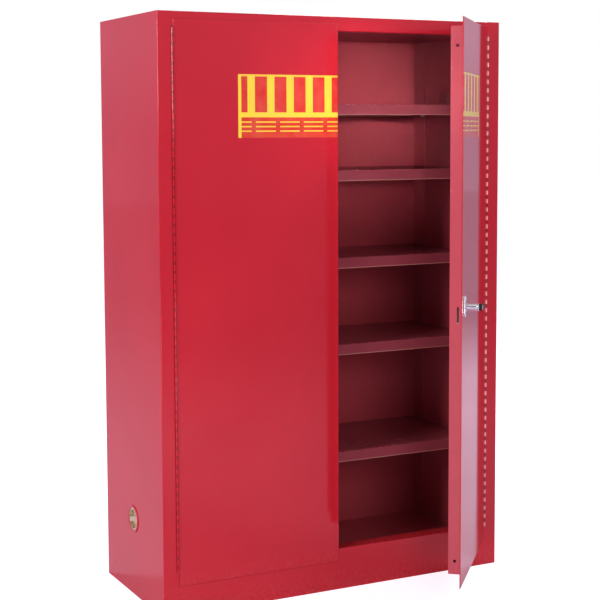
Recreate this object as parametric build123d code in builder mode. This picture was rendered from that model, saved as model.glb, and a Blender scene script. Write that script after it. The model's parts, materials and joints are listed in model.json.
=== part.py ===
"""Two-door flammable storage cabinet, in millimetres.

+X runs to the right seen from the front, +Y to the back and +Z up. The origin is the centre of the
base, on the floor. The left door is closed and the right door stands open, with its latch drawn in.
"""

import os
from math import cos, pi, radians, sin, sqrt

from build123d import *

# The case: two sheet steel boxes, one inside the other, with an air gap between them.
WIDTH = 1092.2
DEPTH = 457.2
HEIGHT = 1651.0
SHEET = 1.2
AIR_GAP = 38.1
WALL = AIR_GAP + 2 * SHEET
BEND = 2.0

HALF_WIDTH = WIDTH / 2
FRONT = -DEPTH / 2
BACK = DEPTH / 2
INNER_HALF = HALF_WIDTH - WALL
INNER_BACK = BACK - WALL
CEILING = HEIGHT - WALL
JAMB_END = FRONT + 44.0
SILL_TOP = 120.0
SPILL_DEPTH = 50.8
PAN_FLOOR = SILL_TOP - SPILL_DEPTH
PAN_UNDERSIDE = PAN_FLOOR - SHEET
RISER_PLACES = [-400.0, 0.0, 400.0]
RISER_HALF = 30.0
RISER_SHEET = 1.5
RISER_INSET = 5.0

# The continuous hinges. Each axis stands just in front of the frame.
AXIS_X = HALF_WIDTH - WALL - 1.2
AXIS_PROUD = 3.2
AXIS_Y = FRONT - AXIS_PROUD
KNUCKLE_RADIUS = 3.0
KNUCKLE_PITCH = 12.7
KNUCKLE_GAP = 0.4
KNUCKLES = 117
PIN_RADIUS = 1.25
PIN_CLEARANCE = 0.05
PIN_SHORT = 0.5
HINGE_FOOT = 121.5
HINGE_HEAD = HINGE_FOOT + KNUCKLES * KNUCKLE_PITCH
LEAF = 1.0
LEAF_REACH = 28.0
LEAF_OUTSIDE = 1.2
FRAME_PLATE_START = 3.6
DOOR_PLATE_START = 2.8
TAB_START = 0.5
TAB_LAP = 0.1
DOOR_TAB = 1.8

# A door, measured from its hinge axis: across towards the free edge, and deep towards the inside.
RIGHT_OPEN = 48.3
DOOR_NEAR = 3.4
DOOR_FREE = HALF_WIDTH - 2.6 - (HALF_WIDTH - AXIS_X)
SKIN_FACE = 0.2
SKIN_BACK = SKIN_FACE + SHEET
SKIN_LIP = AXIS_PROUD - 0.3
SKIN_BEND = 2.0
SKIN_NEAR_BEND = 0.9
SKIN_FOOT = 84.0
SKIN_HEAD = 1632.0
DOOR_BACK = SKIN_FACE + 34.5
PAN_FREE = DOOR_FREE - SHEET
PAN_BEND = 1.5
PANEL_FOOT = SILL_TOP + 4.5
PANEL_HEAD = CEILING - 4.0
END_HOLE_RADIUS = 4.0
END_HOLE_DEPTH = 16.7
END_HOLE_FOOT = PANEL_FOOT + 36.5
END_HOLE_HEAD = PANEL_HEAD - 51.5

# The latch in the right door. A cam on the handle's shaft drives two rods and a bolt.
HUB_ACROSS = DOOR_FREE - 44.0
HUB_Z = 855.0
CRANK = 16.0
CRANK_OFFSET = CRANK / sqrt(2)
STROKE = 2 * CRANK_OFFSET
CRANK_PIN = 2.5
SLOT_HALF = 3.3
SLOT_END = 0.4
SHAFT_RADIUS = 6.0
SHAFT_HOLE = 7.5
RUNNING = 0.08
ROD_RADIUS = 3.2
ROD_DEPTH = 20.0
ROD_OFFSET = 14.0
ROD_HEAD = PANEL_HEAD - 2.5
ROD_FOOT = PANEL_FOOT + 2.0
ROD_HOLE = 3.9
STRIKE_HOLE = 5.0
DRIVER_DEPTHS = (18.0, 22.0)
DRIVER_HALF = 7.0
DRIVER_NEAR = 6.5
DRIVER_FAR = 22.8
DRIVER_LAP = 4.5
BOLT_DEPTH = 11.7
BOLT_HALF = 2.5
BOLT_FOOT = HUB_Z - 39.0
BOLT_HEAD = HUB_Z + 1.0
BOLT_WAY = 2.0
STRIKE_SHEET = 2.0
STRIKE_DEPTHS = (4.0, 26.0)
STRIKE_LAP = 20.0
STRIKE_WAY_HALF = 3.5
BOLT_WAY_HALF = 3.0
SLIDE_ACROSS = 480.0
GUIDE_HALF = 9.0
GUIDE_START = 13.0

# The label over both doors.
LABEL_NEAR = 191.4
LABEL_FAR = 499.4
LABEL_FOOT = 1313.0
LABEL_HEAD = 1486.0
LABEL_THICK = 0.3

# The shelves, and the slotted strips and clips that carry them.
SHELF_TOPS = [391.0, 708.5, 962.5, 1216.5, 1407.0]
SHELF_HALF = 498.0
SHELF_FRONT = FRONT + 55.0
SHELF_BACK = INNER_BACK - 6.0
SHELF_LIP = 31.0
SHELF_FLANGE = 20.0
SHELF_HEM = 12.0
STRIP_DEPTH = 5.0
STRIP_HALF = 10.0
STRIP_FOOT = 150.0
STRIP_HEAD = 1590.0
STRIP_PLACES = [-120.0, 130.0]
SLOT_PITCH = 63.5
SLOT_BELOW_SHELF = 25.0
SLOTS_BELOW_FIRST = 3
SLOTS = 22
SLOT_WIDE = 4.0
SLOT_TALL = 14.0
CLIP_SHEET = 1.5
CLIP_HALF = 8.0
CLIP_REACH = 16.0
CLIP_FOOT = 34.0
CLIP_HOOK_REACH = 3.0
CLIP_HOOK_HALF = 1.5
CLIP_HOOK_FOOT = 30.0
CLIP_HOOK_HEAD = 20.5

# The two vents: low on the left side and high on the right side.
VENT_Y = 5.4
VENT_LOW = 222.0
VENT_HIGH = HEIGHT - VENT_LOW
VENT_BORE = 33.3
VENT_TUBE = 35.5
VENT_RIM = 40.0
RIM_PROUD = 2.5
RIM_BEND = 1.5
CAP_RADIUS = VENT_BORE - 0.1
CAP_LENGTH = 14.0
CAP_OUTSIDE = 1.0
CAP_WELL = 27.0
CAP_WELL_DEPTH = 8.0
CAP_BAR_HALF = 6.5
CAP_BAR_LAP = 1.0
CAP_BAR_SINK = 0.8
CAP_BAR_TURN = 14.0
SCREEN_THICK = 2.0
SCREEN_PITCH = 3.4
SCREEN_HOLE = 2.2
SCREEN_ROWS = 9

os.makedirs("parts", exist_ok=True)


def save(piece, name):
    """Name a finished piece and write it."""
    piece.part.label = name
    export_step(piece.part, f"parts/{name}.step")


def slab(across, deep, tall, mode=Mode.ADD):
    """Add a block that fills the given spans along the three axes."""
    spans = (across, deep, tall)
    with Locations([tuple((low + high) / 2 for low, high in spans)]):
        Box(*[abs(high - low) for low, high in spans], mode=mode)


def lying(radius, across, deep, height, mode=Mode.ADD):
    """Add a cylinder that lies along the local Y axis."""
    middle = (across, (deep[0] + deep[1]) / 2, height)
    with Locations([Location(middle, (90, 0, 0))]):
        Cylinder(radius, abs(deep[1] - deep[0]), mode=mode)


def sideways(radius, across, deep, height, mode=Mode.ADD):
    """Add a cylinder that lies along the local X axis."""
    middle = ((across[0] + across[1]) / 2, deep, height)
    with Locations([Location(middle, (0, 90, 0))]):
        Cylinder(radius, abs(across[1] - across[0]), mode=mode)


def upright(radius, across, deep, tall, mode=Mode.ADD):
    """Add a cylinder that stands along the Z axis."""
    with Locations([(across, deep, (tall[0] + tall[1]) / 2)]):
        Cylinder(radius, abs(tall[1] - tall[0]), mode=mode)


# The outer box.


def make_outer_side(name, side, vent_z):
    """One outer side with its front stile and jamb, bent from one sheet."""
    outer = side * HALF_WIDTH
    inner = side * INNER_HALF
    with BuildPart() as panel:
        slab((outer, outer - side * SHEET), (FRONT, BACK), (0, HEIGHT))
        slab((outer, inner), (FRONT, FRONT + SHEET), (0, HEIGHT))
        slab((inner, inner + side * SHEET), (FRONT, JAMB_END), (SHEET, HEIGHT - SHEET))
        sideways(VENT_TUBE, (outer, outer - side * SHEET), VENT_Y, vent_z, Mode.SUBTRACT)
        for corner in (outer, inner):
            middle = (corner, FRONT, HEIGHT / 2)
            fillet(panel.edges().filter_by(Axis.Z).sort_by_distance(middle)[0], BEND)
        # The inner bend runs only between the sill and the header, which butt against the stile.
        for tall in ((0, SILL_TOP), (CEILING, HEIGHT)):
            slab((inner, inner + side * BEND), (FRONT, FRONT + SHEET), tall)
    save(panel, name)


def strike_holes():
    """Where the four rods pass through the head and the foot of the frame, as X and Y."""
    y = AXIS_Y + ROD_DEPTH
    rod_x = AXIS_X - HUB_ACROSS
    slide_x = SLIDE_ACROSS - AXIS_X
    head = [(rod_x - ROD_OFFSET, y), (slide_x, y)]
    foot = [(rod_x + ROD_OFFSET, y), (slide_x, y)]
    return head, foot


HEAD_HOLES, FOOT_HOLES = strike_holes()

make_outer_side("side_outer_left", -1, VENT_LOW)
make_outer_side("side_outer_right", 1, VENT_HIGH)

with BuildPart() as top_outer:
    between_sides = (SHEET - HALF_WIDTH, HALF_WIDTH - SHEET)
    slab(between_sides, (FRONT + SHEET, BACK - SHEET), (HEIGHT - SHEET, HEIGHT))
    slab((-INNER_HALF, INNER_HALF), (FRONT, FRONT + SHEET), (CEILING, HEIGHT))
    slab((-INNER_HALF, INNER_HALF), (FRONT, JAMB_END), (CEILING, CEILING + SHEET))
    for x, y in HEAD_HOLES:
        upright(STRIKE_HOLE, x, y, (CEILING, CEILING + SHEET), Mode.SUBTRACT)
    for z in (CEILING, HEIGHT):
        fillet(top_outer.edges().filter_by(Axis.X).sort_by_distance((0, FRONT, z))[0], BEND)
save(top_outer, "top_outer")

with BuildPart() as back_outer:
    slab(between_sides, (BACK - SHEET, BACK), (0, HEIGHT))
save(back_outer, "back_outer")

with BuildPart() as bottom_outer:
    slab(between_sides, (FRONT + SHEET, BACK - SHEET), (0, SHEET))
save(bottom_outer, "bottom_outer")

with BuildPart() as sill:
    slab((-INNER_HALF, INNER_HALF), (FRONT, FRONT + SHEET), (0, SILL_TOP))
    slab((-INNER_HALF, INNER_HALF), (FRONT, JAMB_END), (SILL_TOP - SHEET, SILL_TOP))
    for x, y in FOOT_HOLES:
        upright(STRIKE_HOLE, x, y, (SILL_TOP - SHEET, SILL_TOP), Mode.SUBTRACT)
    fillet(sill.edges().filter_by(Axis.X).sort_by_distance((0, FRONT, SILL_TOP))[0], BEND)
save(sill, "sill")


# The inner box.


def make_inner_side(name, side, vent_z):
    """One inner side, with the hole for its vent."""
    inner = side * INNER_HALF
    with BuildPart() as panel:
        span = (inner, inner + side * SHEET)
        slab(span, (JAMB_END, INNER_BACK + SHEET), (PAN_UNDERSIDE, CEILING + SHEET))
        sideways(VENT_TUBE, span, VENT_Y, vent_z, Mode.SUBTRACT)
    save(panel, name)


make_inner_side("side_inner_left", -1, VENT_LOW)
make_inner_side("side_inner_right", 1, VENT_HIGH)

with BuildPart() as top_inner:
    slab((-INNER_HALF, INNER_HALF), (JAMB_END, INNER_BACK), (CEILING, CEILING + SHEET))
save(top_inner, "top_inner")

with BuildPart() as back_inner:
    tall = (PAN_UNDERSIDE, CEILING + SHEET)
    slab((-INNER_HALF, INNER_HALF), (INNER_BACK, INNER_BACK + SHEET), tall)
save(back_inner, "back_inner")

with BuildPart() as bottom_pan:
    slab((-INNER_HALF, INNER_HALF), (JAMB_END, INNER_BACK), (PAN_UNDERSIDE, SILL_TOP))
    spill = INNER_HALF - SHEET
    slab((-spill, spill), (JAMB_END + SHEET, INNER_BACK - SHEET), (PAN_FLOOR, SILL_TOP), Mode.SUBTRACT)
save(bottom_pan, "bottom_pan")

with BuildPart() as bottom_risers:
    reach = (JAMB_END + RISER_INSET, INNER_BACK - RISER_INSET)
    hollow_half = RISER_HALF - RISER_SHEET
    for x in RISER_PLACES:
        slab((x - RISER_HALF, x + RISER_HALF), reach, (SHEET, PAN_UNDERSIDE))
        hollow_tall = (SHEET, PAN_UNDERSIDE - RISER_SHEET)
        slab((x - hollow_half, x + hollow_half), reach, hollow_tall, Mode.SUBTRACT)
save(bottom_risers, "bottom_risers")


# The shelves and what carries them.


def make_strips(name, side):
    """Two slotted strips on one inner side."""
    wall = side * INNER_HALF
    face = wall - side * STRIP_DEPTH
    first_slot = SHELF_TOPS[0] - SLOT_BELOW_SHELF - SLOTS_BELOW_FIRST * SLOT_PITCH
    with BuildPart() as strips:
        for y in STRIP_PLACES:
            slab((wall, face), (y - STRIP_HALF, y + STRIP_HALF), (STRIP_FOOT, STRIP_HEAD))
            hollow = (y - STRIP_HALF + SHEET, y + STRIP_HALF - SHEET)
            slab((wall, face + side * SHEET), hollow, (STRIP_FOOT, STRIP_HEAD), Mode.SUBTRACT)
            slots = [(face, y, first_slot + SLOT_PITCH * count) for count in range(SLOTS)]
            with Locations(slots):
                Box(3 * SHEET, SLOT_WIDE, SLOT_TALL, mode=Mode.SUBTRACT)
    save(strips, name)


make_strips("shelf_strips_left", -1)
make_strips("shelf_strips_right", 1)

with BuildPart() as shelf_clips:
    for top in SHELF_TOPS:
        for side in (-1, 1):
            for y in STRIP_PLACES:
                face = side * (INNER_HALF - STRIP_DEPTH)
                ledge = top - SHELF_FLANGE
                wide = (y - CLIP_HALF, y + CLIP_HALF)
                slab((face, face - side * CLIP_SHEET), wide, (top - CLIP_FOOT, ledge))
                slab((face, face - side * CLIP_REACH), wide, (ledge - CLIP_SHEET, ledge))
                hook = (y - CLIP_HOOK_HALF, y + CLIP_HOOK_HALF)
                hook_tall = (top - CLIP_HOOK_FOOT, top - CLIP_HOOK_HEAD)
                slab((face, face + side * CLIP_HOOK_REACH), hook, hook_tall)
save(shelf_clips, "shelf_clips")

for number, top in enumerate(SHELF_TOPS, 1):
    with BuildPart() as shelf:
        half = SHELF_HALF
        slab((-half, half), (SHELF_FRONT, SHELF_BACK), (top - SHEET, top))
        slab((-half, half), (SHELF_FRONT, SHELF_FRONT + SHEET), (top - SHELF_LIP, top))
        hem = (top - SHELF_LIP, top - SHELF_LIP + SHEET)
        slab((-half, half), (SHELF_FRONT, SHELF_FRONT + SHELF_HEM), hem)
        slab((-half, half), (SHELF_BACK - SHEET, SHELF_BACK), (top - SHELF_LIP, top))
        for side in (-1, 1):
            edge = side * half
            slab((edge, edge - side * SHEET), (SHELF_FRONT, SHELF_BACK), (top - SHELF_FLANGE, top))
        for z in (top - SHELF_LIP, top):
            fillet(shelf.edges().filter_by(Axis.X).sort_by_distance((0, SHELF_FRONT, z))[0], BEND)
    save(shelf, f"shelf_{number}")


# The doors. A door's local X runs from its hinge axis to its free edge. Its local Y runs inwards on
# the left door and outwards on the right door, so depths are multiplied by the door's sense.

LEFT_DOOR = Plane(origin=(-AXIS_X, AXIS_Y, 0), x_dir=(1, 0, 0), z_dir=(0, 0, 1))
LEFT_FRAME = LEFT_DOOR
RIGHT_FRAME = Plane(origin=(AXIS_X, AXIS_Y, 0), x_dir=(-1, 0, 0), z_dir=(0, 0, 1))
OPEN_ACROSS = (-cos(radians(RIGHT_OPEN)), -sin(radians(RIGHT_OPEN)), 0)
RIGHT_DOOR = Plane(origin=(AXIS_X, AXIS_Y, 0), x_dir=OPEN_ACROSS, z_dir=(0, 0, 1))
LEFT = 1
RIGHT = -1


def depth(sense, *values):
    """Depths behind the hinge axis as local Y values of a door."""
    return tuple(sense * value for value in values)


def stations(first):
    """Heights of the middle of every second knuckle."""
    return [HINGE_FOOT + KNUCKLE_PITCH * (count + 0.5) for count in range(first, KNUCKLES, 2)]


def make_leaf(name, plane, sense, first, plate, plate_start, tab):
    """One leaf of a continuous hinge: a long plate, with tabs rolled into knuckles."""
    length = KNUCKLE_PITCH - KNUCKLE_GAP
    with BuildPart(plane) as leaf:
        slab(plate, depth(sense, plate_start, LEAF_REACH), (HINGE_FOOT, HINGE_HEAD))
        near, far = depth(sense, TAB_START, plate_start + TAB_LAP)
        middles = stations(first)
        with Locations([((tab[0] + tab[1]) / 2, (near + far) / 2, z) for z in middles]):
            Box(tab[1] - tab[0], abs(far - near), length)
        with Locations([(0, 0, z) for z in middles]):
            Cylinder(KNUCKLE_RADIUS, length)
        upright(PIN_RADIUS + PIN_CLEARANCE, 0, 0, (HINGE_FOOT, HINGE_HEAD), Mode.SUBTRACT)
    save(leaf, name)


def make_hinge(hand, frame_plane, door_plane, sense):
    """The frame leaf, the door leaf and the pin of one hinge."""
    frame_plate = (-LEAF_OUTSIDE, LEAF - LEAF_OUTSIDE)
    frame_leaf = f"hinge_frame_leaf_{hand}"
    make_leaf(frame_leaf, frame_plane, sense, 0, frame_plate, FRAME_PLATE_START, frame_plate)
    door_plate = (DOOR_NEAR - LEAF, DOOR_NEAR)
    door_tab = (DOOR_NEAR - DOOR_TAB, DOOR_NEAR)
    door_leaf = f"hinge_door_leaf_{hand}"
    make_leaf(door_leaf, door_plane, sense, 1, door_plate, DOOR_PLATE_START, door_tab)
    with BuildPart(frame_plane) as pin:
        upright(PIN_RADIUS, 0, 0, (HINGE_FOOT + PIN_SHORT, HINGE_HEAD - PIN_SHORT))
    save(pin, f"hinge_pin_{hand}")


def inwards(plane, sense):
    """The axis from the face of a door towards the inside."""
    return Axis(plane.origin, plane.y_dir * sense)


def make_skin(name, plane, sense, has_handle):
    """The outer sheet of a door, with its head, foot and free edges turned inwards."""
    across = (DOOR_NEAR, DOOR_FREE)
    tall = (SKIN_FOOT, SKIN_HEAD)
    turned = depth(sense, SKIN_FACE, SKIN_LIP)
    with BuildPart(plane) as skin:
        slab(across, depth(sense, SKIN_FACE, SKIN_BACK), tall)
        slab((PAN_FREE, DOOR_FREE), turned, tall)
        for z in ((SKIN_FOOT, SKIN_FOOT + SHEET), (SKIN_HEAD - SHEET, SKIN_HEAD)):
            slab(across, turned, z)
        if has_handle:
            through = depth(sense, SKIN_FACE, SKIN_BACK)
            lying(SHAFT_HOLE, HUB_ACROSS, through, HUB_Z, Mode.SUBTRACT)
        face = skin.faces().sort_by(inwards(plane, sense))[0]
        near_edge = face.outer_wire().edges().sort_by_distance(plane.origin + Vector(0, 0, HUB_Z))[0]
        turned_edges = [edge for edge in face.outer_wire().edges() if edge != near_edge]
        fillet(turned_edges, SKIN_BEND)
        fillet(skin.edges().filter_by(Axis.Z).sort_by_distance(near_edge.center())[0], SKIN_NEAR_BEND)
    save(skin, name)


def make_panel(name, plane, sense, rod_places, slot_half, knobs):
    """The inner pan of a door, open towards the skin, with its latch slot and rod holes."""
    across = (DOOR_NEAR, PAN_FREE)
    edge_wall = (PAN_FREE - SHEET, PAN_FREE)
    with BuildPart(plane) as panel:
        slab(across, depth(sense, SKIN_BACK, DOOR_BACK), (PANEL_FOOT, PANEL_HEAD))
        back_face = panel.faces().sort_by(inwards(plane, sense))[-1]
        fillet(back_face.edges(), PAN_BEND)
        hollow = (DOOR_NEAR + SHEET, PAN_FREE - SHEET)
        tall = (PANEL_FOOT + SHEET, PANEL_HEAD - SHEET)
        slab(hollow, depth(sense, SKIN_BACK, DOOR_BACK - SHEET), tall, Mode.SUBTRACT)
        slot = depth(sense, BOLT_DEPTH - slot_half, BOLT_DEPTH + slot_half)
        slab(edge_wall, slot, (BOLT_FOOT - BOLT_WAY, BOLT_HEAD + BOLT_WAY), Mode.SUBTRACT)
        for z in (END_HOLE_FOOT, END_HOLE_HEAD):
            sideways(END_HOLE_RADIUS, edge_wall, sense * END_HOLE_DEPTH, z, Mode.SUBTRACT)
        for place, end in zip(rod_places, (PANEL_FOOT, PANEL_HEAD - SHEET)):
            upright(ROD_HOLE, place, sense * ROD_DEPTH, (end, end + SHEET), Mode.SUBTRACT)
        for knob_way in knobs:
            back = depth(sense, DOOR_BACK - SHEET, DOOR_BACK)
            wide = (SLIDE_ACROSS - KNOB_WAY_HALF, SLIDE_ACROSS + KNOB_WAY_HALF)
            slab(wide, back, knob_way, Mode.SUBTRACT)
    save(panel, name)


def make_label(name, plane, sense):
    """The half of the label on one door."""
    thick = depth(sense, SKIN_FACE - LABEL_THICK, SKIN_FACE)
    with BuildPart(plane) as label:
        slab((LABEL_NEAR, LABEL_FAR), thick, (LABEL_FOOT, LABEL_HEAD))
    save(label, name)


# The slide bolts inside the left door, each with a knob that reaches through the inner pan.
SLIDE_STROKE = 20.0
SLIDE_TAIL = 40.0
KNOB_RADIUS = 3.0
KNOB_HEAD_RADIUS = 7.0
KNOB_NECK_END = DOOR_BACK + 4.0
KNOB_END = DOOR_BACK + 10.0
KNOB_WAY_HALF = 4.5
KNOB_WAY_END = KNOB_RADIUS + 1.0
UPPER_KNOB = 1380.0
LOWER_KNOB = 370.0
UPPER_KNOB_WAY = (UPPER_KNOB - KNOB_WAY_END, UPPER_KNOB + SLIDE_STROKE + KNOB_WAY_END)
LOWER_KNOB_WAY = (LOWER_KNOB - SLIDE_STROKE - KNOB_WAY_END, LOWER_KNOB + KNOB_WAY_END)
SLIDE_GUIDES = [(1550.0, 1580.0), (1420.0, 1440.0), (150.0, 180.0), (310.0, 330.0)]

make_hinge("left", LEFT_FRAME, LEFT_DOOR, LEFT)
make_skin("door_skin_left", LEFT_DOOR, LEFT, False)
left_rods = (SLIDE_ACROSS, SLIDE_ACROSS)
left_ways = (UPPER_KNOB_WAY, LOWER_KNOB_WAY)
make_panel("door_pan_left", LEFT_DOOR, LEFT, left_rods, STRIKE_WAY_HALF, left_ways)
make_label("label_left", LEFT_DOOR, LEFT)

with BuildPart(LEFT_DOOR) as strike_plate:
    inside_edge = (PAN_FREE - SHEET - STRIKE_SHEET, PAN_FREE - SHEET)
    slab(inside_edge, STRIKE_DEPTHS, (BOLT_FOOT - STRIKE_LAP, BOLT_HEAD + STRIKE_LAP))
    bolt_way = (BOLT_DEPTH - STRIKE_WAY_HALF, BOLT_DEPTH + STRIKE_WAY_HALF)
    slab(inside_edge, bolt_way, (BOLT_FOOT - BOLT_WAY, BOLT_HEAD + BOLT_WAY), Mode.SUBTRACT)
save(strike_plate, "strike_plate")


def make_slide_bolt(name, span, knob_z):
    """A round bolt with a knob on its side."""
    with BuildPart(LEFT_DOOR) as slide_bolt:
        upright(ROD_RADIUS, SLIDE_ACROSS, ROD_DEPTH, span)
        lying(KNOB_RADIUS, SLIDE_ACROSS, (ROD_DEPTH, KNOB_NECK_END), knob_z)
        lying(KNOB_HEAD_RADIUS, SLIDE_ACROSS, (KNOB_NECK_END, KNOB_END), knob_z)
    save(slide_bolt, name)


make_slide_bolt("slide_bolt_upper", (UPPER_KNOB - SLIDE_TAIL, ROD_HEAD), UPPER_KNOB)
make_slide_bolt("slide_bolt_lower", (ROD_FOOT, LOWER_KNOB + SLIDE_TAIL), LOWER_KNOB)


def guide_block(sense, across, tall):
    """A block on the back of a door pan, bored for a round rod."""
    wide = (across - GUIDE_HALF, across + GUIDE_HALF)
    slab(wide, depth(sense, GUIDE_START, DOOR_BACK - SHEET), tall)
    upright(ROD_RADIUS + RUNNING, across, sense * ROD_DEPTH, tall, Mode.SUBTRACT)


with BuildPart(LEFT_DOOR) as slide_guides:
    for tall in SLIDE_GUIDES:
        guide_block(LEFT, SLIDE_ACROSS, tall)
save(slide_guides, "slide_guides")

# The right door and its latch, shown drawn in.
UPPER_ACROSS = HUB_ACROSS + ROD_OFFSET
LOWER_ACROSS = HUB_ACROSS - ROD_OFFSET
UPPER_GUIDE = (1560.0, 1590.0)
LOWER_GUIDE = (170.0, 200.0)

make_hinge("right", RIGHT_FRAME, RIGHT_DOOR, RIGHT)
make_skin("door_skin_right", RIGHT_DOOR, RIGHT, True)
right_rods = (LOWER_ACROSS, UPPER_ACROSS)
make_panel("door_pan_right", RIGHT_DOOR, RIGHT, right_rods, BOLT_WAY_HALF, ())
make_label("label_right", RIGHT_DOOR, RIGHT)

with BuildPart(RIGHT_DOOR) as rod_guides:
    guide_block(RIGHT, UPPER_ACROSS, UPPER_GUIDE)
    guide_block(RIGHT, LOWER_ACROSS, LOWER_GUIDE)
save(rod_guides, "rod_guides")


def make_latch_rod(name, across, cam_z, end):
    """A round rod with a slotted driver plate, which a crank pin moves up and down."""
    up = 1 if end > cam_z else -1
    hand = 1 if across > HUB_ACROSS else -1
    thick = depth(RIGHT, *DRIVER_DEPTHS)
    slot_near = CRANK_OFFSET - CRANK_PIN - SLOT_END
    slot_far = CRANK + CRANK_PIN + SLOT_END
    with BuildPart(RIGHT_DOOR) as rod:
        plate = (HUB_ACROSS + hand * DRIVER_NEAR, HUB_ACROSS + hand * DRIVER_FAR)
        slab(plate, thick, (cam_z - DRIVER_HALF, cam_z + DRIVER_HALF))
        upright(ROD_RADIUS, across, RIGHT * ROD_DEPTH, (cam_z + up * DRIVER_LAP, end))
        slot = (HUB_ACROSS + hand * slot_near, HUB_ACROSS + hand * slot_far)
        slab(slot, thick, (cam_z - SLOT_HALF, cam_z + SLOT_HALF), Mode.SUBTRACT)
    save(rod, name)


make_latch_rod("latch_rod_upper", UPPER_ACROSS, HUB_Z - CRANK_OFFSET, ROD_HEAD)
make_latch_rod("latch_rod_lower", LOWER_ACROSS, HUB_Z + CRANK_OFFSET, ROD_FOOT)

# The bolt is a flat bar. Its tail carries an upright slot for the third crank pin.
BOLT_SLOT = HUB_ACROSS - CRANK_OFFSET
TAIL_HALF = 8.0
TAIL_HEAD = HUB_Z - 6.0
BAR_HEAD = HUB_Z - 21.0
TIP_START = BOLT_SLOT + 27.0
BOLT_TIP = PAN_FREE - 0.5
GUIDE_WALL = 1.2
GUIDE_GAP = 0.3
BOLT_GUIDE_START = HUB_ACROSS + 14.0
BOLT_GUIDE_FOOT = BOLT_FOOT - 4.0
BOLT_GUIDE_HEAD = BOLT_FOOT + 16.0

with BuildPart(RIGHT_DOOR) as latch_bolt:
    bolt_span = depth(RIGHT, BOLT_DEPTH - BOLT_HALF, BOLT_DEPTH + BOLT_HALF)
    slab((BOLT_SLOT - TAIL_HALF, BOLT_TIP), bolt_span, (BOLT_FOOT, BAR_HEAD))
    slab((BOLT_SLOT - TAIL_HALF, BOLT_SLOT + TAIL_HALF), bolt_span, (BAR_HEAD, TAIL_HEAD))
    slab((TIP_START, BOLT_TIP), bolt_span, (BAR_HEAD, BOLT_HEAD))
    slot = (BOLT_SLOT - SLOT_HALF, BOLT_SLOT + SLOT_HALF)
    slot_foot = HUB_Z - CRANK - CRANK_PIN - SLOT_END
    slot_head = HUB_Z - CRANK_OFFSET + CRANK_PIN + SLOT_END
    slab(slot, bolt_span, (slot_foot, slot_head), Mode.SUBTRACT)
save(latch_bolt, "latch_bolt")

with BuildPart(RIGHT_DOOR) as bolt_guide:
    guide = (BOLT_GUIDE_START, PAN_FREE - SHEET)
    way_half = BOLT_HALF + GUIDE_GAP
    wall_half = way_half + GUIDE_WALL
    walls = depth(RIGHT, BOLT_DEPTH - wall_half, BOLT_DEPTH + wall_half)
    slab(guide, walls, (BOLT_GUIDE_FOOT, BOLT_GUIDE_HEAD))
    way = depth(RIGHT, BOLT_DEPTH - way_half, BOLT_DEPTH + way_half)
    slab(guide, way, (BOLT_FOOT - GUIDE_GAP, BOLT_GUIDE_HEAD), Mode.SUBTRACT)
save(bolt_guide, "bolt_guide")

# The cam and its three crank pins, at their places with the latch drawn in. Each pin is given by
# its side of the shaft, its place above or below it, and the depth that it reaches.
CAM_FRONT = 4.6
CAM_BACK = 8.1
CAM_RIM = 5.0
ROD_PIN_END = 22.5
BOLT_PIN_END = 14.7
CRANK_PINS = [(1, -1, ROD_PIN_END), (-1, 1, ROD_PIN_END), (-1, -1, BOLT_PIN_END)]

with BuildPart(RIGHT_DOOR) as latch_cam:
    disc = depth(RIGHT, CAM_FRONT, CAM_BACK)
    lying(CRANK + CAM_RIM, HUB_ACROSS, disc, HUB_Z)
    for hand, up, reach in CRANK_PINS:
        across = HUB_ACROSS + hand * CRANK_OFFSET
        lying(CRANK_PIN, across, depth(RIGHT, CAM_FRONT, reach), HUB_Z + up * CRANK_OFFSET)
    lying(SHAFT_RADIUS, HUB_ACROSS, disc, HUB_Z, Mode.SUBTRACT)
save(latch_cam, "latch_cam")

# The handle, measured outwards from the skin.
PLATE_THICK = 5.0
PLATE_LENGTH = 60.0
PLATE_WIDTH = 28.0
PLATE_LIFT = 1.5
PLATE_BEND = 3.0
SCREW_SPREAD = 22.5
SCREW_RADIUS = 1.6
SCREW_HEAD_RADIUS = 3.2
SCREW_HEAD = 1.4
PLATE_GAP = 0.4
SHAFT_INSIDE = 26.0
NECK_RADIUS = 10.0
NECK_END = 34.0
GROOVE_RADIUS = 8.0
COLLAR_START = 36.0
COLLAR_END = 40.0
COLLAR_RADIUS = 10.5
COLLAR_BEND = 1.0
HEAD_END = 50.0
HEAD_RADIUS = 7.0
LEVER_END = 49.5
LEVER_REACH = 46.0
LEVER_ROOT = 9.5
LEVER_TIP = 5.0
LEVER_TIP_BEND = 4.5
LEVER_BEND = 2.0
LOCK_RADIUS = 5.5
LOCK_FLOOR = 0.6
LOCK_SEAT = 1.2
LOCK_PROUD = 0.6
KEYWAY_HALF = 0.8
KEYWAY_REACH = 3.5
KEYWAY_DEEP = 5.0
CLIP_DEPTHS = (23.5, 25.0)
CLIP_RADIUS = 9.0


def outwards(*heights):
    """Heights above the skin as local Y values of the right door."""
    return tuple(height - SKIN_FACE for height in heights)


# The face of the door around the handle. Its X runs towards the hinge and its Y runs up.
FACE_PLANE = Plane(
    origin=RIGHT_DOOR.from_local_coords((HUB_ACROSS, -SKIN_FACE, HUB_Z)),
    x_dir=-RIGHT_DOOR.x_dir,
    z_dir=RIGHT_DOOR.y_dir,
)
OUTWARDS = Axis(FACE_PLANE.origin, FACE_PLANE.z_dir)
SCREWS = [(0, PLATE_LIFT + SCREW_SPREAD), (0, PLATE_LIFT - SCREW_SPREAD)]

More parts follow.
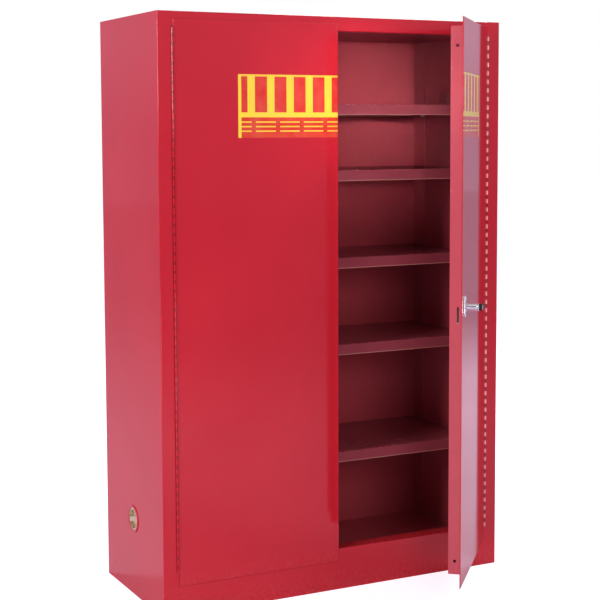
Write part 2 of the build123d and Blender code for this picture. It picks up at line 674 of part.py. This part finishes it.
with BuildPart() as escutcheon:
    with BuildSketch(FACE_PLANE):
        with Locations((0, PLATE_LIFT)):
            SlotOverall(PLATE_LENGTH, PLATE_WIDTH, rotation=90)
        Circle(SHAFT_RADIUS + RUNNING, mode=Mode.SUBTRACT)
        with Locations(SCREWS):
            Circle(SCREW_RADIUS, mode=Mode.SUBTRACT)
    extrude(amount=PLATE_THICK)
    front_face = escutcheon.faces().sort_by(OUTWARDS)[-1]
    fillet(front_face.outer_wire().edges(), PLATE_BEND)
save(escutcheon, "escutcheon")

with BuildPart(RIGHT_DOOR) as handle_hub:
    neck_start = PLATE_THICK + PLATE_GAP
    lying(SHAFT_RADIUS, HUB_ACROSS, outwards(-SHAFT_INSIDE, neck_start), HUB_Z)
    lying(NECK_RADIUS, HUB_ACROSS, outwards(neck_start, NECK_END), HUB_Z)
    lying(GROOVE_RADIUS, HUB_ACROSS, outwards(NECK_END, COLLAR_START), HUB_Z)
    lying(COLLAR_RADIUS, HUB_ACROSS, outwards(COLLAR_START, COLLAR_END), HUB_Z)
    round_edges = handle_hub.edges().filter_by(GeomType.CIRCLE)
    rims = [edge for edge in round_edges if edge.radius > GROOVE_RADIUS + RUNNING]
    fillet(rims, COLLAR_BEND)
    lying(HEAD_RADIUS, HUB_ACROSS, outwards(COLLAR_END, HEAD_END), HUB_Z)
    bore = outwards(COLLAR_END + LOCK_FLOOR, HEAD_END)
    lying(LOCK_RADIUS + RUNNING, HUB_ACROSS, bore, HUB_Z, Mode.SUBTRACT)
save(handle_hub, "handle_hub")

with BuildPart(RIGHT_DOOR) as lock_plug:
    lying(LOCK_RADIUS, HUB_ACROSS, outwards(COLLAR_END + LOCK_SEAT, HEAD_END + LOCK_PROUD), HUB_Z)
    keyway = (HUB_ACROSS - KEYWAY_HALF, HUB_ACROSS + KEYWAY_HALF)
    keyway_deep = outwards(HEAD_END - KEYWAY_DEEP, HEAD_END + LOCK_PROUD)
    slab(keyway, keyway_deep, (HUB_Z - KEYWAY_REACH, HUB_Z + KEYWAY_REACH), Mode.SUBTRACT)
save(lock_plug, "lock_plug")

with BuildPart() as handle_lever:
    with BuildSketch(FACE_PLANE.offset(COLLAR_END)):
        with BuildLine():
            root = (0, LEVER_ROOT), (0, -LEVER_ROOT)
            tip = (LEVER_REACH, -LEVER_TIP), (LEVER_REACH, LEVER_TIP)
            Polyline(*root, *tip, close=True)
        make_face()
        fillet(vertices().group_by(Axis.X)[-1], LEVER_TIP_BEND)
        Circle(LEVER_ROOT)
        Circle(HEAD_RADIUS, mode=Mode.SUBTRACT)
    extrude(amount=LEVER_END - COLLAR_END)
    ends = handle_lever.faces().sort_by(OUTWARDS)
    fillet(ends[-1].outer_wire().edges() + ends[0].outer_wire().edges(), LEVER_BEND)
save(handle_lever, "handle_lever")

with BuildPart() as escutcheon_screws:
    with BuildSketch(FACE_PLANE):
        with Locations(SCREWS):
            Circle(SCREW_RADIUS)
    extrude(amount=PLATE_THICK)
    with BuildSketch(FACE_PLANE.offset(PLATE_THICK)):
        with Locations(SCREWS):
            Circle(SCREW_HEAD_RADIUS)
    extrude(amount=SCREW_HEAD)
save(escutcheon_screws, "escutcheon_screws")

with BuildPart(RIGHT_DOOR) as shaft_clip:
    lying(CLIP_RADIUS, HUB_ACROSS, depth(RIGHT, *CLIP_DEPTHS), HUB_Z)
    lying(SHAFT_RADIUS, HUB_ACROSS, depth(RIGHT, *CLIP_DEPTHS), HUB_Z, Mode.SUBTRACT)
save(shaft_clip, "shaft_clip")


# The vents. Each has a flanged tube through the wall, a flame arrester and a slotted screw cap.


def make_vent(hand, side, height):
    """The tube, the arrester and the cap of one vent."""
    outer = side * HALF_WIDTH
    inner = side * INNER_HALF
    proud = outer + side * RIM_PROUD
    with BuildPart() as bung:
        sideways(VENT_TUBE, (proud, inner), VENT_Y, height)
        sideways(VENT_RIM, (outer, proud), VENT_Y, height)
        sideways(VENT_BORE, (proud, inner), VENT_Y, height, Mode.SUBTRACT)
        wide_rims = bung.edges().filter_by(GeomType.CIRCLE).group_by(SortBy.RADIUS)[-1]
        fillet(wide_rims.sort_by_distance((proud, VENT_Y, height))[0], RIM_BEND)
    save(bung, f"vent_bung_{hand}")

    with BuildPart() as screen:
        sideways(VENT_BORE, (inner, inner + side * SCREEN_THICK), VENT_Y, height)
        facing = Plane(origin=(inner, VENT_Y, height), z_dir=(side, 0, 0))
        with BuildSketch(facing):
            with HexLocations(SCREEN_PITCH, SCREEN_ROWS, SCREEN_ROWS):
                Circle(SCREEN_HOLE)
        extrude(amount=SCREEN_THICK, mode=Mode.SUBTRACT)
    save(screen, f"vent_screen_{hand}")

    # The cap is screwed in as far as it goes, which leaves its bar at a slant.
    face = outer + side * CAP_OUTSIDE
    bar_plane = Plane(origin=(face, VENT_Y, height), x_dir=(0, 1, 0), z_dir=(side, 0, 0))
    with BuildPart() as cap:
        sideways(CAP_RADIUS, (face, face - side * CAP_LENGTH), VENT_Y, height)
        rim = cap.edges().filter_by(GeomType.CIRCLE).sort_by_distance(bar_plane.origin)[0]
        fillet(rim, CAP_OUTSIDE)
        sideways(CAP_WELL, (face, face - side * CAP_WELL_DEPTH), VENT_Y, height, Mode.SUBTRACT)
        with BuildSketch(bar_plane.offset(-CAP_WELL_DEPTH)):
            Rectangle(2 * CAP_WELL + CAP_BAR_LAP, 2 * CAP_BAR_HALF, rotation=-side * CAP_BAR_TURN)
        extrude(amount=CAP_WELL_DEPTH - CAP_BAR_SINK)
    save(cap, f"vent_cap_{hand}")


make_vent("left", -1, VENT_LOW)
make_vent("right", 1, VENT_HIGH)
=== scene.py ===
"""Looks for a two-door flammable storage cabinet: gloss red enamel, chrome, brass and zinc."""

import json
import math

import bpy
from mathutils import Matrix, Vector


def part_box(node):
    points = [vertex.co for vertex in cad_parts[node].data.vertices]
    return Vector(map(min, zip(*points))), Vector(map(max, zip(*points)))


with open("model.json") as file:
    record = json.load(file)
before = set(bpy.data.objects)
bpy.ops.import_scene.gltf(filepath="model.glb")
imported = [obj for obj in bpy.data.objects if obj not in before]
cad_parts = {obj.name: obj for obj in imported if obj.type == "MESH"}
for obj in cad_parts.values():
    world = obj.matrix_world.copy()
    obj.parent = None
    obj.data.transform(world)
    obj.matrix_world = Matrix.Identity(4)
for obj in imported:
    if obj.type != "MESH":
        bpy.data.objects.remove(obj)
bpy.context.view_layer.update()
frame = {"nodes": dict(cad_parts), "record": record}
nodes = frame["nodes"]
record = frame["record"]
joints = {joint["name"]: joint for joint in record["behaviour"]["joints"]}


# Node helpers.


class Graph:
    """The node tree of a material or a world, with short ways to add and join nodes."""

    def __init__(self, owner, coordinates):
        owner.use_nodes = True
        self.tree = owner.node_tree
        self.place = self.node("ShaderNodeTexCoord").outputs[coordinates]

    def node(self, kind, **settings):
        made = self.tree.nodes.new(kind)
        for key, value in settings.items():
            setattr(made, key, value)
        return made

    def join(self, source, target):
        if isinstance(source, bpy.types.NodeSocket):
            self.tree.links.new(source, target)
        else:
            target.default_value = source

    def math(self, operation, first, second=0.0, third=0.0):
        made = self.node("ShaderNodeMath", operation=operation)
        for value, socket in zip((first, second, third), made.inputs):
            self.join(value, socket)
        return made.outputs[0]

    def times(self, *values):
        """The product of several values."""
        product = values[0]
        for value in values[1:]:
            product = self.math("MULTIPLY", product, value)
        return product

    def along(self, direction, origin=(0.0, 0.0, 0.0)):
        """How far a point lies from origin along direction."""
        offset = self.node("ShaderNodeVectorMath", operation="SUBTRACT")
        self.join(self.place, offset.inputs[0])
        offset.inputs[1].default_value = origin
        dot = self.node("ShaderNodeVectorMath", operation="DOT_PRODUCT")
        self.join(offset.outputs[0], dot.inputs[0])
        dot.inputs[1].default_value = direction
        return dot.outputs["Value"]

    def noise(self, scale, detail=2.0, roughness=0.5, stretch=None):
        """A noise value from 0 to 1 with about the given number of features a metre."""
        made = self.node("ShaderNodeTexNoise")
        made.inputs["Scale"].default_value = scale
        made.inputs["Detail"].default_value = detail
        made.inputs["Roughness"].default_value = roughness
        source = self.place
        if stretch is not None:
            scaled = self.node("ShaderNodeVectorMath", operation="MULTIPLY")
            self.join(self.place, scaled.inputs[0])
            scaled.inputs[1].default_value = stretch
            source = scaled.outputs[0]
        self.join(source, made.inputs["Vector"])
        return made.outputs["Fac"]

    def spread(self, value, low, high, from_low=0.35, from_high=0.65):
        """A value carried from one range to another and kept inside it."""
        made = self.node("ShaderNodeMapRange")
        self.join(value, made.inputs["Value"])
        made.inputs["From Min"].default_value = from_low
        made.inputs["From Max"].default_value = from_high
        made.inputs["To Min"].default_value = low
        made.inputs["To Max"].default_value = high
        return made.outputs["Result"]

    def between(self, value, low, high):
        """1 where the value lies between low and high, and 0 elsewhere."""
        return self.times(self.math("GREATER_THAN", value, low), self.math("LESS_THAN", value, high))

    def mix(self, share, first, second):
        """A colour between two others."""
        made = self.node("ShaderNodeMix", data_type="RGBA")
        self.join(share, made.inputs["Factor"])
        for value, name in ((first, "A"), (second, "B")):
            socket = [s for s in made.inputs if s.name == name and s.type == "RGBA"][0]
            self.join(value if isinstance(value, bpy.types.NodeSocket) else (*value, 1.0), socket)
        return [s for s in made.outputs if s.type == "RGBA"][0]

    def bump(self, height, distance, strength=1.0, under=None):
        """A surface normal tilted by a height, over another normal where one is given."""
        made = self.node("ShaderNodeBump")
        self.join(height, made.inputs["Height"])
        made.inputs["Distance"].default_value = distance
        made.inputs["Strength"].default_value = strength
        if under is not None:
            self.join(under, made.inputs["Normal"])
        return made.outputs["Normal"]

    def camera_rays(self):
        """1 where the camera looks straight at the surface, and 0 for light and reflections."""
        return self.node("ShaderNodeLightPath").outputs["Is Camera Ray"]


class Finish(Graph):
    """A material's graph, placed by the object's own coordinates."""

    def __init__(self, name):
        self.material = bpy.data.materials.new(name)
        super().__init__(self.material, "Object")
        self.shader = self.tree.nodes["Principled BSDF"]

    def set(self, **values):
        """Set or link the shader's inputs, written with underscores for spaces."""
        for key, value in values.items():
            self.join(value, self.shader.inputs[key.replace("_", " ")])


# Materials.

X_AXIS = (1.0, 0.0, 0.0)
Y_AXIS = (0.0, 1.0, 0.0)
Z_AXIS = (0.0, 0.0, 1.0)

OUTER_RED = (0.510, 0.014, 0.026)
OUTER_DEEP = (0.470, 0.011, 0.022)
INNER_RED = (0.450, 0.062, 0.080)
INNER_DEEP = (0.400, 0.052, 0.068)
SHELF_RED = (0.280, 0.054, 0.072)
SHELF_DEEP = (0.235, 0.044, 0.060)
# The next two colours are painted shade: the door leaves' knuckles are drawn darker so the hinge
# shows dark dashes.
HINGE_SHADE_RED = (0.330, 0.008, 0.016)
HINGE_SHADE_DEEP = (0.270, 0.007, 0.013)
# The next two colours are a painted highlight: pale knuckles on the right frame leaf, drawn as lit
# glints along the hinge.
HINGE_HIGHLIGHT_RED = (0.950, 0.460, 0.440)
HINGE_HIGHLIGHT_DEEP = (0.800, 0.330, 0.320)
RUBBED_RED = (0.60, 0.09, 0.09)
# The next colour is a painted highlight: a pale tan line along the fold at the bottom of the shelf
# lips.
HEM_HIGHLIGHT_TAN = (0.62, 0.30, 0.24)
ENAMEL_INDEX = 1.45
OUTER_GLOSS = (0.05, 0.09)
INNER_GLOSS = (0.14, 0.22)
SHELF_GLOSS = (0.16, 0.24)
HINGE_GLOSS = (0.10, 0.18)
WELD_PITCH = 0.075
WELD_INSET = 0.018
WELD_RADIUS = 0.0065
WELD_DEPTH = 0.0011
WAVE_HEIGHT = 0.0012
PEEL_HEIGHT = 0.00005


def enamel(name, fresh, deep, gloss=OUTER_GLOSS, rub=None, hem_highlight=None, dents=None):
    """Baked enamel on sheet steel: slight colour clouds, orange peel, faint waves and rubbed edges.

    rub(g) gives where the paint is rubbed, from 0 to 1, hem(g) where a painted highlight lies along
    a folded edge, and dents(g) how deep the sheet is pressed in.
    """
    g = Finish(name)
    colour = g.mix(g.spread(g.noise(2.6, 3.0), 0.0, 1.0), fresh, deep)
    rough = g.spread(g.noise(6.0, 4.0, 0.6, (1.0, 1.0, 0.4)), *gloss)
    grime = g.spread(g.noise(38.0, 6.0, 0.7), 0.0, 0.03, 0.5, 0.75)
    rough = g.math("ADD", rough, grime)
    # Painted highlight along a folded edge.
    if hem_highlight is not None:
        colour = g.mix(hem_highlight(g), colour, HEM_HIGHLIGHT_TAN)
    if rub is not None:
        streaks = g.spread(g.noise(170.0, 5.0, 0.7, (1.0, 1.0, 0.5)), 0.0, 1.0, 0.46, 0.72)
        worn = g.times(rub(g), streaks)
        colour = g.mix(worn, colour, RUBBED_RED)
        rough = g.math("ADD", rough, g.times(worn, 0.3))
    waves = g.bump(g.noise(1.8, 1.0), WAVE_HEIGHT, 0.5)
    if dents is not None:
        waves = g.bump(dents(g), -WELD_DEPTH, 1.0, waves)
    peel = g.bump(g.noise(330.0, 2.0), PEEL_HEIGHT, 0.35, waves)
    g.set(Base_Color=colour, Roughness=rough, Normal=peel, IOR=ENAMEL_INDEX)
    return g.material


def rubbed_foot(g):
    """Scuffs from shoes and mops, fading out above the floor."""
    return g.spread(g.along(Z_AXIS), 0.45, 0.0, 0.004, 0.10)


def rubbed_door(point, outward, free_edge):
    """Rubbed paint down a door's free edge and along its foot."""
    def rub(g):
        reach = g.along(outward, point)
        edge = g.spread(reach, 0.0, 0.35, free_edge - 0.012, free_edge)
        foot = g.spread(g.along(Z_AXIS), 0.3, 0.0, 0.085, 0.15)
        return g.math("MAXIMUM", edge, foot)
    return rub


def rubbed_sill(g):
    """The sill's upper edge, where containers are dragged over it, and its foot."""
    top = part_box("sill")[1][2]
    edge = g.spread(g.along(Z_AXIS), 0.0, 0.55, top - 0.006, top)
    return g.math("MAXIMUM", edge, rubbed_foot(g))


def spot_welds(sheet):
    """Rows of spot-weld dimples just inside the four edges of an upright sheet."""
    low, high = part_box(sheet)

    def dents(g):
        def row(run, across, near, far):
            step = g.math("PINGPONG", run, WELD_PITCH / 2)
            side = g.math("ABSOLUTE", g.math("SUBTRACT", across, (near + far) / 2))
            gap = g.math("SUBTRACT", side, (far - near) / 2 - WELD_INSET)
            radius = g.math("SQRT", g.math("ADD", g.times(step, step), g.times(gap, gap)))
            return g.spread(radius, 1.0, 0.0, WELD_RADIUS * 0.4, WELD_RADIUS)

        across, height = g.along(X_AXIS), g.along(Z_AXIS)
        uprights = row(height, across, low[0], high[0])
        levels = row(across, height, low[2], high[2])
        return g.math("MAXIMUM", uprights, levels)

    return dents


def shelf_enamel(shelf):
    """Shelf paint with a worn front edge, and a painted highlight along the fold at the bottom of
    its lip.
    """
    low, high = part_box(shelf)

    def rub(g):
        front = g.spread(g.along(Y_AXIS), 0.6, 0.0, low[1], low[1] + 0.03)
        top = g.spread(g.along(Z_AXIS), 0.0, 1.0, high[2] - 0.003, high[2])
        return g.times(front, top)

    # Painted highlight: a pale band along the lowest 3 mm of the lip.
    def hem_highlight(g):
        height = g.along(Z_AXIS)
        return g.times(g.spread(height, 1.0, 0.0, low[2] + 0.0016, low[2] + 0.0032), 0.75)

    return enamel(f"{shelf}_enamel", SHELF_RED, SHELF_DEEP, SHELF_GLOSS, rub, hem_highlight)


def chrome_plate():
    """Bright plate with faint smears."""
    g = Finish("chrome_plate")
    smear = g.noise(120.0, 4.0, 0.6)
    g.set(Base_Color=g.mix(g.spread(smear, 0.0, 1.0), (0.86, 0.86, 0.88), (0.76, 0.76, 0.79)))
    g.set(Metallic=1.0, Roughness=g.spread(smear, 0.03, 0.12))
    g.set(Normal=g.bump(g.noise(900.0, 3.0), 0.00003, 0.3))
    return g.material


def zinc_plate():
    """Dull patchy plate, finely drawn along its height."""
    g = Finish("zinc_plate")
    patch = g.noise(90.0, 5.0, 0.65)
    g.set(Base_Color=g.mix(g.spread(patch, 0.0, 1.0), (0.62, 0.61, 0.56), (0.48, 0.49, 0.50)))
    g.set(Metallic=1.0, Roughness=g.spread(patch, 0.24, 0.42))
    g.set(Normal=g.bump(g.noise(1500.0, 2.0, 0.5, (1.0, 1.0, 0.08)), 0.00004, 0.5))
    return g.material


def cast_brass():
    """Tarnished brass, rough from the mould."""
    g = Finish("cast_brass")
    patch = g.noise(150.0, 5.0, 0.6)
    g.set(Base_Color=g.mix(g.spread(patch, 0.0, 1.0), (0.88, 0.80, 0.58), (0.58, 0.51, 0.33)))
    g.set(Metallic=1.0, Roughness=g.spread(g.noise(60.0, 3.0), 0.26, 0.40))
    g.set(Normal=g.bump(g.noise(700.0, 4.0, 0.6), 0.0001, 0.4))
    return g.material


def black_finish(name, gloss, index):
    """Near-black enamel or nylon, and the near-black of the latch bolt, which is painted shade."""
    g = Finish(name)
    cloud = g.spread(g.noise(60.0, 3.0), 0.0, 1.0)
    g.set(Base_Color=g.mix(cloud, (0.016, 0.012, 0.012), (0.035, 0.022, 0.022)))
    g.set(Roughness=g.spread(g.noise(200.0, 3.0), *gloss), IOR=index)
    g.set(Normal=g.bump(g.noise(800.0, 3.0), 0.00005, 0.4))
    return g.material


left_hinge = joints["door_left_swing"]["pos_m"]
right_hinge = joints["door_right_swing"]["pos_m"]
right_outward = joints["latch_bolt_slide"]["axis"]
label_low, label_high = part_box("label_left")
LABEL_NEAR = label_low[0] - left_hinge[0]         # the label's outer side, from the hinge's axis
LABEL_BORDER = 0.0092
TOP_LINE = 0.0052
BAND_SPLIT = label_low[2] + 0.0695
SPLIT_LINE = 0.0135
BLOCK_PITCH = 0.0596
BLOCK_WIDTH = 0.0370
DASH_PITCH = 0.074
DASH_WIDTH = 0.061
DASH_HEIGHTS = [label_low[2] + rise for rise in (0.0430, 0.0305, 0.0180)]
DASH_HALF = 0.0018
INK_YELLOW = (0.84, 0.64, 0.040)
INK_RED = (0.62, 0.022, 0.018)
INK_ORANGE = (0.63, 0.034, 0.016)
INK_FADED = (0.72, 0.42, 0.20)


def printed_label(name, hinge, outward):
    """Plain red blocks on yellow over a red band with rows of thin bars, and no words."""
    g = Finish(name)
    reach = g.math("SUBTRACT", g.along(outward, hinge), LABEL_NEAR + LABEL_BORDER)
    height = g.along(Z_AXIS)
    in_block = g.math("LESS_THAN", g.math("PINGPONG", reach, BLOCK_PITCH / 2), BLOCK_WIDTH / 2)
    blocks = g.times(in_block, g.between(height, BAND_SPLIT, label_high[2] - TOP_LINE))
    lower = g.math("LESS_THAN", height, BAND_SPLIT - SPLIT_LINE)
    rows = 0.0
    for middle in DASH_HEIGHTS:
        rows = g.math("ADD", rows, g.between(height, middle - DASH_HALF, middle + DASH_HALF))
    in_dash = g.math("LESS_THAN", g.math("PINGPONG", reach, DASH_PITCH / 2), DASH_WIDTH / 2)
    dashes = g.times(rows, in_dash)
    inside = g.math("GREATER_THAN", reach, 0.0)
    colour = g.mix(g.times(blocks, inside), INK_YELLOW, INK_RED)
    colour = g.mix(g.times(lower, inside), colour, INK_ORANGE)
    colour = g.mix(g.times(dashes, inside), colour, INK_YELLOW)
    faded = g.spread(g.noise(22.0, 4.0), 0.0, 0.10)
    colour = g.mix(faded, colour, INK_FADED)
    g.set(Base_Color=colour, Roughness=g.spread(g.noise(40.0, 4.0), 0.14, 0.24), IOR=ENAMEL_INDEX)
    g.set(Normal=g.bump(g.noise(500.0, 2.0), 0.00003, 0.3))
    return g.material


DOOR_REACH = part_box("door_skin_left")[1][0] - left_hinge[0]

outer = enamel("outer_enamel", OUTER_RED, OUTER_DEEP, rub=rubbed_foot)
inner = enamel("inner_enamel", INNER_RED, INNER_DEEP, INNER_GLOSS)
door_left = enamel("door_left_enamel", OUTER_RED, OUTER_DEEP,
                   rub=rubbed_door(left_hinge, X_AXIS, DOOR_REACH))
door_right = enamel("door_right_enamel", OUTER_RED, OUTER_DEEP,
                    rub=rubbed_door(right_hinge, right_outward, DOOR_REACH))
# Painted shade: a darker enamel for the knuckles of both door leaves.
hinge = enamel("hinge_enamel", HINGE_SHADE_RED, HINGE_SHADE_DEEP, HINGE_GLOSS)

BY_SLOT = {
    "red_paint": outer,
    "plated_steel": zinc_plate(),
    "guide_plastic": black_finish("guide_nylon", (0.4, 0.55), 1.45),
    "chrome": chrome_plate(),
    "black_enamel": black_finish("black_enamel", (0.42, 0.55), 1.18),
    "brass": cast_brass(),
}
BY_NODE = {
    "back_outer": enamel("back_enamel", OUTER_RED, OUTER_DEEP, rub=rubbed_foot,
                         dents=spot_welds("back_outer")),
    # Painted shade: the latch bolt is drawn near-black, for the dark spot it makes on the door's
    # free edge.
    "latch_bolt": black_finish("bolt_oxide", (0.35, 0.50), 1.4),
    "hinge_door_leaf_left": hinge,
    "hinge_door_leaf_right": hinge,
    # Painted highlight: the right frame leaf's knuckles are drawn pale, as glints.
    "hinge_frame_leaf_right": enamel("worn_hinge_enamel", HINGE_HIGHLIGHT_RED, HINGE_HIGHLIGHT_DEEP, HINGE_GLOSS),
    "sill": enamel("sill_enamel", OUTER_RED, OUTER_DEEP, rub=rubbed_sill),
    "door_skin_left": door_left,
    "door_skin_right": door_right,
    "label_left": printed_label("label_print_left", left_hinge, X_AXIS),
    "label_right": printed_label("label_print_right", right_hinge, right_outward),
}
for name in ("side_inner_left", "side_inner_right", "top_inner", "back_inner", "bottom_pan",
             "shelf_strips_left", "shelf_strips_right", "door_pan_left", "door_pan_right",
             "vent_screen_left", "vent_screen_right"):
    BY_NODE[name] = inner
for name in nodes:
    if name.startswith("shelf_") and name[len("shelf_"):].isdigit():
        BY_NODE[name] = shelf_enamel(name)

slot_of = {entry["node"]: entry["material_slot"] for entry in record["subparts"]}
for name, node in nodes.items():
    material = BY_NODE.get(name) or BY_SLOT[slot_of[name]]
    if not node.data.materials:
        node.data.materials.append(material)
    for slot in node.material_slots:
        slot.material = material


# The camera.

YAW = math.radians(26.874)
PITCH = math.radians(4.998)
ROLL = math.radians(-0.223)
CAMERA_PLACE = Vector((-1.915, -3.762, 1.338))
FOCAL_LENGTH = 84.75
SENSOR_WIDTH = 36.0
FRAME_SHIFT = -0.08

camera_data = bpy.data.cameras.new("camera")
camera_data.lens = FOCAL_LENGTH
camera_data.sensor_width = SENSOR_WIDTH
camera_data.shift_y = FRAME_SHIFT
camera_data.clip_end = 100.0
camera = bpy.data.objects.new("camera", camera_data)
heading = Matrix.Rotation(-YAW, 4, "Z")
tilt = Matrix.Rotation(math.pi / 2 - PITCH, 4, "X")
roll = Matrix.Rotation(ROLL, 4, "Z")
camera.matrix_world = Matrix.Translation(CAMERA_PLACE) @ heading @ tilt @ roll
bpy.context.scene.collection.objects.link(camera)
bpy.context.scene.camera = camera
bpy.context.scene.view_settings.view_transform = "Standard"


# The studio: a white surround, and soft lamps.

SKYLINE = (0.44, 0.37, 0.50)
HORIZON = (0.62, 0.50, 0.66)
RAFTERS = (0.22, 0.20, 0.24)
OVERHEAD = (0.85, 0.85, 0.90)
UNLIT = (0.14, 0.12, 0.14)
WHITE = (1.0, 1.0, 1.0)
UNLIT_WAY = Vector((-0.50, -0.86, 0.0)).normalized()    # the dark part of the room, by the tripod


def studio_world():
    """White where it is looked at, and a dimmer room for light and reflections."""
    world = bpy.data.worlds.new("studio")
    g = Graph(world, "Generated")

    def facing(direction, from_low, from_high):
        return g.spread(g.along(direction), 0.0, 1.0, from_low, from_high)

    room = g.mix(facing(Z_AXIS, 0.0, 0.06), SKYLINE, HORIZON)
    room = g.mix(facing(Z_AXIS, 0.16, 0.40), room, RAFTERS)
    room = g.mix(facing(Z_AXIS, 0.60, 0.85), room, OVERHEAD)
    room = g.mix(facing(UNLIT_WAY, 0.92, 0.97), room, UNLIT)
    g.join(g.mix(g.camera_rays(), room, WHITE), g.tree.nodes["Background"].inputs["Color"])
    return world


def soft_lamp(name, place, target, width, height, power, beam=180.0, mirrored=True):
    """A rectangular lamp aimed at a target; beam is its spread in degrees."""
    data = bpy.data.lights.new(name, "AREA")
    data.spread = math.radians(beam)
    data.shape = "RECTANGLE"
    data.size = width
    data.size_y = height
    data.energy = power
    lamp = bpy.data.objects.new(name, data)
    lamp.location = place
    lamp.rotation_euler = (Vector(target) - Vector(place)).to_track_quat("-Z", "Y").to_euler()
    lamp.visible_camera = False
    lamp.visible_glossy = mirrored
    bpy.context.scene.collection.objects.link(lamp)


bpy.context.scene.world = studio_world()
soft_lamp("key", (-4.2, -1.6, 2.1), (0.0, -0.1, 0.8), 1.4, 1.4, 125.0)
soft_lamp("front_fill", (2.3, -3.0, 3.2), (0.2, -0.4, 0.8), 1.2, 1.2, 25.0)
soft_lamp("camera_fill", (-0.9, -3.7, 1.7), (0.2, 0.0, 0.8), 0.9, 0.9, 28.0)
soft_lamp("bay_fill", (-1.75, -3.60, 1.55), (0.17, -0.10, 1.42), 0.3, 0.3, 0.5,
          beam=9.0, mirrored=False)
soft_lamp("low_fill", (-0.3, -2.8, 0.35), (0.2, 0.0, 1.3), 1.0, 0.5, 8.0)
soft_lamp("back_fill", (2.4, 3.0, 3.2), (0.0, 0.2, 0.9), 1.6, 1.6, 150.0)


# The floor.

SPAN = 20.0
FLOOR_GLOW = 0.70
FLOOR_PALE = (0.62, 0.53, 0.66)
FLOOR_BRIGHT = (0.66, 0.57, 0.70)

floor_mesh = bpy.data.meshes.new("floor")
corners = [(-SPAN, -SPAN, 0), (SPAN, -SPAN, 0), (SPAN, SPAN, 0), (-SPAN, SPAN, 0)]
floor_mesh.from_pydata(corners, [], [(0, 1, 2, 3)])
floor = bpy.data.objects.new("floor", floor_mesh)
bpy.context.scene.collection.objects.link(floor)
g = Finish("floor")
g.set(Base_Color=g.mix(g.spread(g.noise(1.5), 0.0, 1.0), FLOOR_PALE, FLOOR_BRIGHT), Roughness=0.9)
g.set(Emission_Color=(*WHITE, 1.0))
g.set(Emission_Strength=g.times(g.camera_rays(), FLOOR_GLOW))
floor_mesh.materials.append(g.material)
